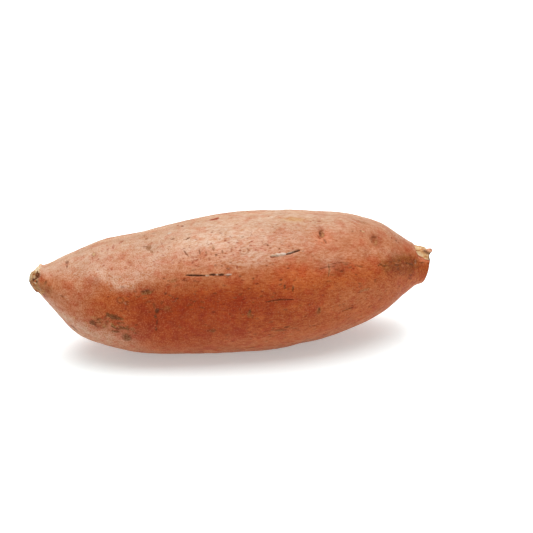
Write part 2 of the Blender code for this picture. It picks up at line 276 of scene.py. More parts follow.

# Marks on the skin, with a few painted glints and highlights among them. Sizes are half sizes, the
# tilt turns the long side down the front, height is outwards, and soft is the share of the mark over
# which its edge fades.
MARK_SOFT = 0.6
Mark = namedtuple(
    "Mark", "along angle long high tilt shade strength height soft", defaults=(MARK_SOFT,)
)
MARKS = (
    Mark(19.5, 98, 0.8, 1.5, 0, "bark", 0.7, -0.3, 0.8),
    Mark(19.2, 108, 0.4, 1.6, 10, "bark", 0.6, -0.2, 0.8),
    Mark(32.5, 101.5, 1.2, 1.6, 0, "cork", 0.6, 0.1, 0.5),
    Mark(32.5, 101.5, 0.7, 1, 0, "cream", 0.9, 0.2, 0.5),
    Mark(42.2, 95, 0.5, 2, 12, "rust", 0.55, -0.2, 0.8),
    Mark(46.5, 89, 1.6, 0.6, -40, "rust", 0.55, -0.1, 0.7),
    Mark(58, 85, 0.8, 1.1, 0, "cork", 0.6, -0.1, 0.8),
    Mark(58.8, 92, 0.8, 1.2, 30, "cork", 0.65, -0.2, 0.8),
    Mark(59, 104.8, 1.3, 1.8, 20, "cork", 0.75, 0.2),
    Mark(60, 109.5, 0.6, 1.6, -25, "cork", 0.65, -0.2, 0.7),
    Mark(57.4, 103, 1.4, 0.5, 20, "bark", 0.6, 0, 0.7),
    Mark(34, 130.5, 5, 3.4, 10, "pale", 0.3, 0, 1.6),
    # Painted highlight: a pale streak along the ridge where it catches the lamp above.
    Mark(44, 141.5, 5.5, 3, 20, "pale", 0.42, 0, 1.6),
    Mark(31.8, 139.8, 3.6, 2.6, 10, "rust", 0.35, 0, 1.4),
    Mark(55.8, 150.5, 2.5, 1.3, -12, "moss", 0.85, -0.5, 0.4),
    Mark(55.2, 148.9, 2.2, 0.5, -12, "bark", 0.75, -0.1, 0.7),
    Mark(8.6, 147, 0.4, 0.9, 20, "bark", 0.6, -0.2, 0.7),
    Mark(8.2, 153.5, 0.5, 1.1, 20, "bark", 0.6, -0.2, 0.7),
    Mark(6.8, 141, 1.6, 2, 0, "deep", 0.5, 0, 1.4),
    Mark(8, 176, 2.6, 4.2, 30, "clay", 0.55, 0, 1.2),
    Mark(7.4, 204, 0.7, 0.8, 20, "rust", 0.9, -0.3),
    Mark(6.4, 196, 0.5, 3, 25, "straw", 0.7, 0.5, 0.7),
    Mark(70.2, 91.5, 1.1, 0.8, 0, "ash", 0.9, 0.2, 0.5),
    Mark(77, 84.2, 0.6, 0.8, 0, "bark", 0.8, -0.2),
    Mark(75, 79.5, 0.6, 0.8, 0, "rust", 0.8, -0.2),
    Mark(78, 105.2, 1.3, 0.5, -25, "soil", 0.9, -0.2, 0.5),
    Mark(78.4, 106.6, 1.2, 0.4, -25, "pale", 0.6, 0.2, 0.7),
    Mark(79.5, 99.5, 1.3, 0.5, -10, "moss", 0.4, 0, 0.8),
    Mark(70.8, 101.5, 1.1, 0.5, 0, "bark", 0.75, -0.2),
    Mark(93.2, 81, 2.1, 1.4, -12, "rust", 1, -0.3, 0.4),
    # Painted glints: two small pale raised spots where the lamp above catches the skin.
    Mark(106.5, 105.8, 0.9, 0.9, 0, "pale", 0.5, 0.3, 0.8),
    Mark(112.8, 107.2, 0.9, 0.9, 0, "pale", 0.5, 0.3, 0.8),
    Mark(104, 112.8, 0.8, 0.6, 0, "moss", 0.5, 0, 0.8),
    Mark(115.2, 123, 0.5, 0.5, 0, "bark", 0.9, -0.2),
    Mark(114, 122, 0.9, 0.4, -20, "bark", 0.5, 0, 0.8),
    Mark(120.5, 127, 0.5, 0.5, 0, "bark", 0.8, -0.2),
    Mark(106.5, 149, 0.5, 0.5, 0, "bark", 0.8, -0.2),
    Mark(89, 135.8, 0.6, 0.4, 0, "bark", 0.6, -0.1),
    Mark(92, 136.8, 0.5, 0.4, 0, "bark", 0.6, -0.1),
    Mark(78.5, 131, 0.6, 0.4, 0, "bark", 0.5, -0.1),
    Mark(119.8, 151.8, 0.6, 0.5, 0, "bark", 0.7, -0.1),
    Mark(76, 121, 0.45, 1.6, -25, "bark", 0.8, -0.3),
    Mark(82.5, 121.5, 0.4, 1.4, 0, "bark", 0.75, -0.3),
    Mark(85.5, 123.2, 0.5, 1.4, 10, "moss", 0.55, -0.1, 0.8),
    Mark(89.2, 120.5, 0.5, 1.4, 0, "moss", 0.6, -0.1, 0.8),
    Mark(90, 127.2, 0.6, 0.7, 0, "bark", 0.8, -0.2),
    Mark(93.2, 124.8, 0.35, 1.2, 0, "bark", 0.7, -0.2),
    Mark(99.2, 139.2, 0.4, 1, 0, "rust", 0.8, -0.2),
    Mark(121.5, 158, 0.5, 1.3, 8, "bark", 0.85, -0.3),
    Mark(125.5, 160, 0.5, 1.3, 8, "bark", 0.85, -0.3),
    Mark(68.8, 143.2, 2, 0.8, -15, "moss", 0.45, -0.1, 0.8),
    Mark(131, 95, 5, 1.9, 4, "straw", 0.6, 0.1, 0.9),
    Mark(142.6, 116, 4.2, 4.6, 0, "ember", 0.55, 0, 1.8),
    Mark(142.6, 108.5, 1.5, 2.4, 0, "rust", 0.3, -0.2, 1.2),
    Mark(142.8, 113, 1.2, 2.4, 12, "cork", 0.9, -0.6),
    Mark(142.1, 112, 0.45, 1.6, 12, "umber", 0.85, -0.4, 0.7),
    Mark(143.3, 113.6, 0.4, 1, 12, "straw", 0.55, 0.1, 0.8),
    Mark(141.2, 117, 0.6, 1.2, -20, "rust", 0.6, -0.2, 0.8),
    Mark(143.6, 120.5, 0.5, 1.6, -18, "bark", 0.6, -0.2, 0.8),
    Mark(143, 97.8, 1.2, 0.8, 0, "rust", 0.65, 0, 0.8),
    Mark(140.2, 96.6, 0.8, 0.6, 0, "rust", 0.45, 0, 0.8),
    Mark(163.8, 111, 1, 0.5, 15, "cream", 0.9, 0.25, 0.5),
    Mark(162.7, 110.6, 0.4, 0.5, 0, "bark", 0.7, 0),
    Mark(160.2, 95.2, 3.2, 0.5, 42, "ash", 0.5, 0.1, 0.8),
    Mark(165, 94.5, 2.4, 1.5, 30, "moss", 0.35, 0, 1.2),
    Mark(171, 120.5, 2.6, 4.4, 0, "rust", 0.4, 0, 1.6),
    Mark(169.3, 119.8, 1.5, 3, 0, "cork", 0.5, -0.4, 0.9),
    Mark(168, 118, 0.6, 2.2, 12, "bark", 0.32, -0.2, 0.9),
    Mark(169.4, 115.6, 1.2, 0.5, 0, "bark", 0.65, 0),
    Mark(169.8, 121.4, 0.7, 1.3, 0, "straw", 0.4, 0.2, 0.9),
    Mark(179, 110.5, 0.5, 0.6, 0, "rust", 0.9, -0.2, 0.5),
    Mark(181.5, 110.8, 0.5, 0.6, 0, "bark", 0.8, -0.2, 0.5),
    Mark(182.8, 112.5, 0.4, 0.5, 0, "rust", 0.8, -0.2, 0.5),
    Mark(149.2, 147, 4.4, 4.6, 0, "rust", 0.35, 0, 1.2),
    Mark(155, 147.8, 0.6, 0.5, 0, "bark", 0.7, -0.1),
    Mark(182, 151.5, 9.5, 5.4, 4, "chestnut", 0.7, 0.2, 0.9),
    Mark(184.5, 144, 4.4, 3, 0, "chestnut", 0.6, 0.1, 1),
    Mark(176, 152, 6, 2.6, 14, "chestnut", 0.6, 0.2, 0.8),
    Mark(173, 151.2, 1.6, 0.5, 8, "bark", 0.8, -0.2),
    Mark(170.2, 149.2, 1.4, 0.5, -10, "bark", 0.7, -0.2),
    Mark(188.6, 150.2, 2.2, 4.8, 10, "chestnut", 0.65, -0.2, 1),
    Mark(183, 158.5, 8, 3.6, 0, "rust", 0.45, 0, 1.2),
    Mark(190.6, 146, 0.4, 1.6, 10, "blush", 0.35, 0.1, 0.8),
    Mark(45, 160.8, 0.7, 0.7, 0, "blush", 0.3, 0.1, 0.7),
    Mark(45.2, 166.2, 0.6, 0.8, 0, "rust", 0.85, -0.2),
    Mark(46.4, 168.4, 0.5, 0.6, 0, "rust", 0.75, -0.1),
    Mark(39, 177, 3.2, 1.5, 6, "soil", 0.85, 0.3, 0.5),
    Mark(36.8, 174.5, 1.3, 0.9, 20, "soil", 0.8, 0.2, 0.5),
    Mark(42.5, 178.2, 1.6, 0.8, 0, "soil", 0.75, 0.2, 0.5),
    Mark(29.5, 189.2, 1.6, 1.3, 0, "soil", 0.85, 0.2),
    Mark(30.6, 191.2, 0.9, 2, -20, "soil", 0.55, 0.1, 0.7),
    Mark(33.2, 187.5, 3.4, 2.8, 0, "cork", 0.45, 0.1, 0.9),
    Mark(39, 189, 1.2, 0.9, 0, "soil", 0.85, 0.2, 0.5),
    Mark(43.8, 188.5, 3, 0.6, 6, "soil", 0.85, 0.2, 0.5),
    Mark(41.6, 190.8, 2.2, 0.5, -12, "soil", 0.75, 0.2, 0.5),
    Mark(40, 194.5, 2.1, 0.7, -10, "soil", 0.8, 0.2, 0.5),
    Mark(47.8, 188.8, 1.5, 0.9, 0, "clay", 0.5, 0, 0.8),
    Mark(45.2, 199.2, 1.7, 2, 0, "soil", 0.8, 0.3),
    Mark(58.8, 163.8, 0.6, 1.9, 0, "bark", 0.5, -0.2, 0.8),
    Mark(60, 169.6, 0.9, 1.6, 20, "night", 0.8, -0.5),
    Mark(59.2, 175.4, 0.7, 1.1, -15, "umber", 0.8, -0.4),
    Mark(59.8, 180.8, 0.4, 1.4, 10, "umber", 0.6, -0.3, 0.8),
    Mark(59.3, 188.2, 0.5, 1.2, 0, "umber", 0.6, -0.3, 0.8),
    Mark(64.8, 167.2, 2, 1.3, 0, "moss", 0.35, 0, 0.9),
    Mark(21, 219.5, 1.6, 1.2, 20, "bark", 0.75, -0.4),
    Mark(104, 179, 1.1, 2, 6, "cork", 0.75, -0.6),
    Mark(104.4, 177, 0.5, 1.1, 6, "umber", 0.7, -0.4, 0.7),
    Mark(138, 184, 1, 1.7, 0, "cork", 0.7, -0.5),
    Mark(138.3, 182, 0.4, 1, 0, "umber", 0.65, -0.3, 0.7),
    Mark(161, 173, 2.6, 0.8, -6, "clay", 0.5, 0.2, 0.7),
    Mark(119, 197, 3, 0.9, 5, "soil", 0.55, 0.2),
    Mark(122.5, 194, 1.4, 0.6, -10, "soil", 0.6, 0.2),
    Mark(86, 191, 2, 0.9, -8, "soil", 0.5, 0.2),
    Mark(44, 28, 1.1, 2.2, 8, "cork", 0.8, -0.7),
    Mark(44.6, 24, 0.5, 1.2, 8, "umber", 0.7, -0.4, 0.7),
    Mark(88, 12, 1.2, 2.4, -10, "cork", 0.8, -0.7),
    Mark(88.5, 9, 0.5, 1.4, -10, "umber", 0.7, -0.4, 0.7),
    Mark(126, 44, 1.4, 2, 0, "cork", 0.7, -0.6),
    Mark(158, 348, 1, 2.2, 6, "cork", 0.8, -0.7),
    Mark(70, 318, 1.2, 2, 0, "cork", 0.75, -0.6),
    Mark(112, 336, 4, 0.9, 4, "clay", 0.6, 0.3),
    Mark(138, 18, 5, 1, -6, "clay", 0.55, 0.3),
)

# Flecks strewn at random over a stretch of skin. Stretch is how much longer than high they are.
Strewn = namedtuple(
    "Strewn", "along angle reach_along reach_round count size stretch shade strength height"
)
STREWN_SEED = 41
STREWN_SPREAD = 0.5
STREWN_SIZES = (0.6, 1.4)
STREWN_TILTS = (-20.0, 20.0)
STREWN_STRENGTHS = (0.5, 1.0)
STREWN_SOFT = 0.8
STREWN = (
    Strewn(39, 186, 12, 10, 26, 0.42, 1.9, "soil", 0.9, 0.15),
    Strewn(37, 187, 14, 12, 14, 0.5, 1.6, "straw", 0.5, 0.15),
    Strewn(183, 151, 14, 9, 20, 0.42, 2.4, "umber", 0.66, -0.15),
    Strewn(180, 152, 16, 8, 12, 0.38, 2, "salmon", 0.38, 0.15),
    Strewn(150, 149, 12, 8, 14, 0.34, 3, "bark", 0.6, -0.15),
    Strewn(76, 143, 22, 8, 16, 0.34, 3, "bark", 0.55, -0.1),
    Strewn(100, 152, 60, 16, 26, 0.34, 2, "umber", 0.65, -0.15),
    Strewn(100, 114, 90, 26, 44, 0.3, 1.3, "rust", 0.6, -0.1),
    Strewn(86, 104, 20, 14, 16, 0.32, 1.6, "cork", 0.7, -0.1),
    Strewn(98, 25, 100, 60, 26, 0.7, 1.4, "bark", 0.65, -0.25),
    Strewn(98, 330, 100, 60, 26, 0.7, 1.4, "cork", 0.65, -0.2),
    Strewn(98, 265, 100, 60, 26, 0.7, 1.6, "soil", 0.65, 0.15),
    Strewn(88, 125, 40, 10, 60, 0.36, 1.4, "rust", 0.75, -0.12),
    Strewn(120, 116, 44, 22, 56, 0.32, 1.3, "bark", 0.6, -0.1),
    Strewn(40, 112, 32, 24, 56, 0.32, 1.2, "rust", 0.55, -0.1),
    Strewn(75, 161, 38, 14, 60, 0.36, 2.2, "umber", 0.6, -0.15),
    Strewn(135, 182, 60, 26, 64, 0.38, 1.8, "bark", 0.6, -0.12),
    Strewn(120, 200, 80, 16, 40, 0.4, 1.6, "soil", 0.5, 0.12),
)

# Thin rings of scar round a healed spot
Ring = namedtuple("Ring", "along angle radius half_width shade strength height")
RINGS = (
    Ring(103.5, 126.2, 2, 0.35, "cork", 0.45, 0.15),
    Ring(42.8, 157.8, 1.4, 0.4, "bark", 0.65, 0.15),
    Ring(33.2, 187.5, 2.8, 0.5, "rust", 0.45, 0.2),
    Ring(45.2, 199.2, 2.1, 0.4, "bark", 0.45, 0.2),
)

# Lines of the skin: cracks that show dark, and lips and flakes that show pale
Line = namedtuple("Line", "points half_width shade strength height")
LINES = (
    Line(((74.6, 140.2), (78, 141.3), (83.8, 142.8)), 0.35, "night", 0.95, -0.7),
    Line(((83.9, 142.8), (85.8, 142.8)), 0.3, "ash", 0.85, 0.1),
    Line(((85.8, 142.7), (88.8, 143)), 0.4, "night", 0.95, -0.7),
    Line(((88.8, 143), (89.9, 143.2)), 0.3, "ash", 0.8, 0.1),
    Line(((89.9, 143.3), (92.8, 144)), 0.4, "night", 0.95, -0.7),
    Line(((92.8, 144), (96.4, 144)), 0.4, "ash", 0.75, 0.1),
    Line(((93.4, 144.8), (95.8, 144.9)), 0.2, "bark", 0.7, -0.2),
    Line(((115.6, 133.6), (119.6, 133.3)), 0.4, "rust", 0.8, -0.3),
    Line(((115.8, 132.6), (119.8, 132.1), (123.6, 131.9)), 0.65, "ash", 0.9, 0.4),
    Line(((123.4, 132.2), (126.8, 130.8), (130.4, 129.3)), 0.45, "night", 0.9, -0.8),
    Line(((124, 131.2), (127.6, 129.7)), 0.22, "pale", 0.55, 0.2),
    Line(((143.8, 142.5), (144.2, 148), (143.2, 153.8)), 0.35, "clay", 0.55, -0.4),
    Line(((144.6, 143), (150, 142.6), (155.6, 144.4)), 0.25, "bark", 0.4, -0.2),
    Line(((112, 169), (119, 168.4), (126, 169.6)), 0.28, "umber", 0.65, -0.5),
    Line(((150, 190), (156, 189)), 0.25, "bark", 0.6, -0.4),
    Line(((58, 346), (66, 347.5), (72, 348)), 0.35, "umber", 0.8, -0.6),
    Line(((108, 25), (116, 24)), 0.3, "umber", 0.7, -0.5),
)

# How broad the relief of marks and lines is, and how lines reach outwards and narrow to their ends
MARK_RELIEF = 0.85
LINE_RELIEF = 0.8
LINE_REACH = 1.7
LINE_NARROWING = 0.75
LINE_NARROWING_POWER = 3

# Where the skin stops at a torn end and its flesh begins, at angles round the root
Rim = namedtuple("Rim", "angle along")
STUB_RIM = (
    Rim(0, 5.4),
    Rim(58, 6.4),
    Rim(80, 6.3),
    Rim(128, 5.8),
    Rim(150, 4.7),
    Rim(178, 4.6),
    Rim(190, 5.8),
    Rim(206, 7.2),
    Rim(226, 5.6),
    Rim(360, 5.4),
)
NECK_RIM = (
    Rim(0, 198.2),
    Rim(40, 196),
    Rim(58, 192),
    Rim(95, 192.1),
    Rim(110, 192.9),
    Rim(114, 194),
    Rim(126, 195.6),
    Rim(134, 198.4),
    Rim(360, 198.2),
)

# The torn edge of the skin: how far the grain moves it, how it fades, and its pale lip
RIM_UNEVEN = 0.25
RIM_FADE = 0.4
LIP_BACK = 0.45
LIP_WIDTH = 0.35
LIP_STRENGTH = 0.40

# The flesh: its fibres run along the root, laid out as on a tube of this radius
FIBRE_TUBE = 6.0
FIBRE_ALONG = 0.3
FIBRE_SIZE = 0.7
FIBRE_SEED = 31
FIBRE_HEIGHT = 0.34
FLESH_GRAIN_SIZE = 0.5
FLESH_GRAIN_SEED = 32
FLESH_GRAIN_HEIGHT = 0.16
FLESH_DEPTH = 0.15

# Shades laid among the fibres, all over the flesh and low on the stub, which is browner
FibreShade = namedtuple("FibreShade", "shade start gain strength")
FLESH_SHADES = (FibreShade("cream", 0.65, 1.5, 1.0), FibreShade("cork", -0.8, -3.0, 0.8))
LOW_SHADES = (FibreShade("cork", 0.6, 1.5, 1.0), FibreShade("orange", 0.0, -2.0, 0.5))
LOW_ANGLE = 205.0
LOW_REACH = 58.0
LOW_MARGIN = 1.0

# Marks on the flesh of the torn ends
FLESH_MARKS = (
    Mark(4.9, 82, 1.5, 3.4, 0, "ivory", 0.95, 0.2, 0.5),
    Mark(4.6, 125, 1.2, 2, 0, "umber", 1, -0.8, 0.4),
    Mark(4.6, 123, 0.45, 0.9, 0, "cork", 0.8, 0.2, 0.7),
    Mark(4, 141, 0.6, 0.8, 0, "umber", 0.95, -0.4, 0.5),
    Mark(1.9, 152, 0.6, 1.5, 0, "night", 0.9, -0.4, 0.5),
    Mark(3.9, 163, 0.5, 0.8, 0, "umber", 0.95, -0.3, 0.5),
    Mark(2.9, 157, 0.6, 1.2, 0, "orange", 0.7, 0.1),
    Mark(3, 171, 0.9, 0.5, 30, "ivory", 0.8, 0.2),
    Mark(6.8, 63, 0.8, 1.8, 0, "ivory", 0.6, 1.3, 0.7),
    Mark(195.2, 74, 0.9, 0.8, 0, "straw", 0.9, 0),
    Mark(195.9, 70, 0.5, 0.9, 0, "rust", 0.85, -0.3, 0.5),
    Mark(196.6, 79, 0.5, 1.6, 0, "bark", 0.85, -0.3, 0.5),
    Mark(197.4, 93, 1, 0.9, 0, "umber", 0.9, -0.3, 0.5),
    Mark(197.5, 112, 0.7, 2.4, 0, "umber", 0.9, -0.2),
)
FLESH_LINES = (
    Line(((4, 141), (3, 147), (1.9, 152)), 0.35, "umber", 0.9, -0.3),
    Line(((191.9, 88), (192.6, 109), (193.7, 115), (194.8, 123)), 0.35, "rust", 0.9, -0.2),
    Line(((194.8, 124), (195.9, 129), (197.6, 134)), 0.4, "rust", 0.9, -0.2),
)

# How far apart the points of the skin are, and how finely they are set near a mark. The front is
# the side between two angles that the camera sees.
COARSE_ROUND = 64
COARSE_STEP = 3.2
TIP_GAP = COARSE_STEP / 8
FRONT = (58.0, 238.0)
FRONT_SPACING = 0.95
BACK_SPACING = 1.30
END_SPACING = 0.34
FINEST_SPACING = 0.26
KNOB_SPACING = FINEST_SPACING / 1.5
MARK_SHARE = 0.45
MARK_MARGIN = 1.25
RING_MARGIN = 2.0
LINE_MARGIN = 3.0
KNOB_MARGIN = 2.0
LONGEST_EDGE = 1.35
MOST_ROUNDS = 5

# Layers of smooth lumps: relief of the skin in millimetres, and changes of its colour and of the
# edges of its marks as shares. The number of values is a power of two.
LUMP_VALUES = 4096
Lumps = namedtuple("Lumps", "size height seed stretch")
SKIN_LUMPS = (
    Lumps(14.0, 0.22, 11, 1.0),
    Lumps(5.0, 0.16, 12, 1.0),
    Lumps(2.2, 0.07, 13, 1.0),
    Lumps(1.6, 0.06, 14, 5.0),
)
BROAD_LUMPS = (Lumps(9.0, 1.0, 21, 1.0),)
MIDDLE_LUMPS = (Lumps(3.2, 1.0, 22, 1.0),)
EDGE_LUMPS = (Lumps(1.1, 0.30, 23, 1.0), Lumps(0.5, 0.22, 24, 1.0))

# The grain runs along the root more and more towards the neck. It runs round the root on the neck,
# near the stub and in one place low on the front. It shows least along the top, and then at the
# back.
Rise = namedtuple("Rise", "least more start over")
Spread = namedtuple("Spread", "share centre reach")
TOP = 90.0
ALONG_GRAIN = Rise(0.15, 0.50, 55.0, 40.0)
NECK_GRAIN = Rise(0.0, 1.0, 184.0, 6.0)
STUB_GRAIN = Spread(0.7, 9.0, 6.0)
LOW_GRAIN_ALONG = Spread(0.5, 78.0, 14.0)
LOW_GRAIN_ROUND = Spread(1.0, 172.0, 20.0)
TOP_CONTRAST = Rise(0.66, 0.34, 20.0, 40.0)
BACK_CONTRAST = Spread(0.22, 0.0, 80.0)

# Noises of the finish, with scales per metre. The one that runs round the root has them per
# millimetre along it and per radius across.
Noise = namedtuple("Noise", "scale detail roughness")
LENGTHWISE_NOISE = Noise((540, 1700, 1700), 1.0, 0.5)
ROUND_NOISE = Noise((2.0, 9.0, 9.0), 1.0, 0.5)
SPECKLE_NOISE = Noise((1700, 1700, 1700), 1.0, 0.5)
CLOUD_NOISE = Noise((250, 520, 520), 3.0, 0.6)
BLOTCH_NOISE = Noise((190, 190, 190), 2.0, 0.5)
CLOUD_SHARE = 0.36

# What a noise from low to high is carried to: low, high, start and end
GRAIN_TO_TONE = (0.32, 0.68, 0.0, 1.0)
GRAIN_TO_ROUGHNESS = (0.3, 0.7, 0.60, 0.48)
BLOTCH_TO_ORANGE = (0.45, 0.70, 0.0, 0.40)
SPECKLE_TO_DUST = (0.50, 0.75, 0.0, 0.22)

# Dots too small to place one by one. Scales are per metre, and sizes are shares of a cell.
Dots = namedtuple("Dots", "name scale scarcity size shade strength")
DOTS = (
    Dots("pores", (240, 340, 340), 0.45, 0.15, "rust", 0.55),
    Dots("freckles", (420, 560, 560), 0.40, 0.24, "rust", 0.30),
    Dots("grit", (700, 1000, 1000), 0.45, 0.30, "bark", 0.34),
)
PORE_DEPTH = 0.8
SKIN_SPECULAR = 0.12
BUMP_STRENGTH = 0.5
BUMP_DISTANCE = 0.0001

# Camera: where it stands round the object, and what it looks at
CAMERA_AZIMUTH = -9.0
CAMERA_ELEVATION = 28.0
CAMERA_DISTANCE = 1.1
CAMERA_LENS = 150.1
CAMERA_SENSOR = 36.0
CAMERA_TARGET = (0.0, 0.0, 0.034)
CAMERA_ASIDE = 0.01647
CAMERA_ABOVE = 0.00672

# Soft lamps: the direction they stand in, how wide they are and their power in watts
Lamp = namedtuple("Lamp", "name towards size power")
LAMPS = (
    Lamp("overhead", (-0.05, 0.0, 1.0), 1.4, 21.9),
    Lamp("behind", (0.14, 0.50, 0.86), 0.8, 4.3),
)
LAMP_DISTANCE = 1.2
WORLD_STRENGTH = 0.45
FLOOR_HALF = 6.0
FLOOR_SHADE = (0.785, 0.845, 0.85, 1.0)
FLOOR_GLOW = 0.39
FLOOR_ROUGHNESS = 0.9


def smooth(x, xs, ys):
    """A curve through the points (xs, ys), with the slope at each taken from its neighbours."""
    slope = np.gradient(ys, xs)
    i = np.clip(np.searchsorted(xs, x, side="right") - 1, 0, len(xs) - 2)
    span = xs[i + 1] - xs[i]
    t = (x - xs[i]) / span
    start = (2 * t**3 - 3 * t**2 + 1) * ys[i] + (t**3 - 2 * t**2 + t) * span * slope[i]
    end = (3 * t**2 - 2 * t**3) * ys[i + 1] + (t**3 - t**2) * span * slope[i + 1]
    return start + end


def hill(distance):
    """1 at no distance, falling smoothly to nothing at about 2."""
    return np.exp(-(distance**2))


def spread(distance, area):
    """A hill with an area's share and reach."""
    return area.share * hill(distance / area.reach)


def turn_from(angle, centre):
    """Degrees from centre to angle, by the shorter way round."""
    return (angle - centre + 180.0) % 360.0 - 180.0


def ease(t):
    """0 below 0 and 1 above 1, with a smooth way between."""
    t = np.clip(t, 0.0, 1.0)
    return t * t * (3.0 - 2.0 * t)


def rising(value, rise):
    return rise.least + rise.more * ease((value - rise.start) / rise.over)


def lumps(points, size, seed):
    """Smooth unevenness from -1 to 1 at points in millimetres, in lumps of about the size given."""
    table = np.random.default_rng(seed).uniform(-1.0, 1.0, LUMP_VALUES)
    order = np.random.default_rng(seed + 1).permutation(LUMP_VALUES)
    wrap = LUMP_VALUES - 1
    cell = points / size
    low = np.floor(cell).astype(int)
    part = ease(cell - low)
    total = np.zeros(len(points))
    for corner in np.ndindex(2, 2, 2):
        x, y, z = (low + corner).T
        value = table[order[(order[(order[x & wrap] + y) & wrap] + z) & wrap]]
        share = np.prod(np.where(np.array(corner) == 1, part, 1.0 - part), axis=1)
        total += share * value
    return total


def layered(points, layers):
    """The sum of layers of lumps, each of which may be stretched along the root."""
    total = np.zeros(len(points))
    for layer in layers:
        stretched = points / np.array([layer.stretch, 1.0, 1.0])
        total += layer.height * lumps(stretched, layer.size, layer.seed)
    return total


def swell(along, angle):
    """How much the slow waves add to the radius, as a share of it."""
    inside = ease(np.minimum(along - STATIONS[0].along, STATIONS[-1].along - along) / WAVE_FADE)
    total = 0.0
    for wave in WAVES:
        turned = wave.count * angle + wave.phase + wave.turn * along / LENGTH
        total = total + wave.share * np.cos(np.radians(turned))
    return inside * total


def relief(along, angle, radius):
    """How far the ridges and dents move the skin outwards, in millimetres."""
    height = np.zeros_like(along)
    for ridge in RIDGES:
        across = turn_from(angle, ridge.angle) / ridge.half_width
        height += ridge.height * hill(across) * hill((along - ridge.along) / ridge.reach)
    for dent in DENTS:
        across = np.radians(turn_from(angle, dent.angle)) * radius / dent.reach_round
        height -= dent.depth * hill(across) * hill((along - dent.along) / dent.reach_along)
    return height


def mean_radius(along):
    table = np.array(STATIONS)
    return (smooth(along, table[:, 0], table[:, 1]) + smooth(along, table[:, 0], table[:, 2])) / 2


def skin(along, angle, fine=0.0):
    """Points of the skin at places along the root and angles round it, in millimetres."""
    table = np.array(STATIONS)
    width, high, aside, up = (smooth(along, table[:, 0], table[:, k]) for k in range(1, 5))
    grown = 1.0 + swell(along, angle)
    lift = relief(along, angle, (width + high) / 2) + fine
    turn = np.radians(angle)
    y = (width * grown + lift) * np.cos(turn)
    z = (high * grown + lift) * np.sin(turn)
    return np.stack([along - LENGTH / 2, aside + y, up + z], axis=-1)


def torn(points, along):
    """The points with the neck's end leaning, its flake off and its knob out, and the knob's share."""
    end = STATIONS[-1]
    x, y, z = np.moveaxis(points, -1, 0)
    near_end = np.clip(1.0 - (end.along - along) / LEAN_REACH, 0.0, 1.0) ** 2
    x = x + near_end * LEAN * (z - end.up)
    to_end = end.along - LENGTH / 2 - x
    ceiling = end.up + FLAKE_UP + FLAKE_SLOPE * to_end + FLAKE_FALL * np.minimum(y, 0.0)
    z = np.minimum(z, ceiling + FLAKE_WALL * np.maximum(to_end - FLAKE_LENGTH, 0.0))

    off_rim = (to_end + LEAN * TEAR_UP, y - KNOB_ASIDE + KNOB_FORWARD, z - end.up - TEAR_UP)
    off_rim = np.sqrt(sum(part**2 for part in off_rim))
    knob = ease(KNOB_BLUNTNESS * hill(off_rim / KNOB_RADIUS))
    return np.stack([x + KNOB_OUT * knob, y, z + KNOB_UP * knob], axis=-1), knob


class End:
    """One torn end: how its face narrows and reaches out, by the distance run over it."""

    def __init__(self, station, caps, tip_reach, outward, ragged):
        self.station = station
        self.outward = outward
        self.ragged = ragged
        self.share = np.array([1.0, *(cap.share for cap in caps), 0.0])
        self.reach = np.array([0.0, *(cap.reach for cap in caps), tip_reach])
        radius = (station.half_width + station.half_height) / 2
        steps = np.hypot(np.diff(self.share) * radius, np.diff(self.reach))
        self.run = np.concatenate([[0.0], np.cumsum(steps)])
        self.middle = np.array([station.along - LENGTH / 2, station.aside, station.up])

    def narrowed(self, run):
        return np.interp(run, self.run, self.share)

    def face(self, run, angle, fine):
        """Points of the end's face. Fine relief moves the rim sideways and the middle outwards."""
        turn = np.radians(angle)
        step = np.interp(run, self.run, np.arange(len(self.run))) - 1.0
        uneven = sum(tooth.share * np.cos(tooth.count * turn + tooth.twist * step) for tooth in TEETH)
        uneven = 1.0 + self.ragged * np.clip(step + 1.0, 0.0, 1.0) * uneven
        ring = skin(np.full_like(run, self.station.along), angle)
        spokes = ring - self.middle
        sideways = self.narrowed(run) ** 2
        share = self.narrowed(run) * uneven + sideways * fine / np.linalg.norm(spokes, axis=1)
        points = self.middle + spokes * share[:, None]
        reach = np.interp(run, self.run, self.reach) + fine * (1.0 - sideways)
        points[:, 0] += self.outward * reach
        return points


STUB = End(STATIONS[0], STUB_CAPS, STUB_REACH, -1.0, STUB_RAGGED)
NECK = End(STATIONS[-1], NECK_CAPS, 0.0, 1.0, NECK_RAGGED)


def strewn():
    """The flecks of every stretch that has them, as marks."""
    chance = np.random.default_rng(STREWN_SEED)
    marks = []
    for patch in STREWN:
        for _ in range(patch.count):
            along, angle = chance.normal(0.0, STREWN_SPREAD, 2)
            along = patch.along + along * patch.reach_along
            angle = (patch.angle + angle * patch.reach_round) % 360.0
            high = patch.size * chance.uniform(*STREWN_SIZES)
            tilt = chance.uniform(*STREWN_TILTS)
            strength = patch.strength * chance.uniform(*STREWN_STRENGTHS)
            sizes = high * patch.stretch, high
            looks = patch.shade, strength, patch.height, STREWN_SOFT
            marks.append(Mark(along, angle, *sizes, tilt, *looks))
    return marks


ALL_MARKS = (*MARKS, *strewn(), *FLESH_MARKS)
ALL_LINES = (*LINES, *FLESH_LINES)


class Spots:
    """Where every point of the mesh lies: along the root, round it, and out over an end."""

    def __init__(self, domain):
        place = domain[:, 0]
        self.place = place
        self.angle = np.degrees(np.arctan2(domain[:, 2], domain[:, 1])) % 360.0
        self.along = np.clip(place, STATIONS[0].along, STATIONS[-1].along)
        self.over_stub = np.maximum(STATIONS[0].along - place, 0.0)
        self.over_neck = np.maximum(place - STATIONS[-1].along, 0.0)
        self.radius = mean_radius(self.along)

    def from_centre(self, along, angle):
        """Millimetres along and round the skin from a place on it."""
        across = np.radians(turn_from(self.angle, angle)) * self.radius
        return self.place - along, across


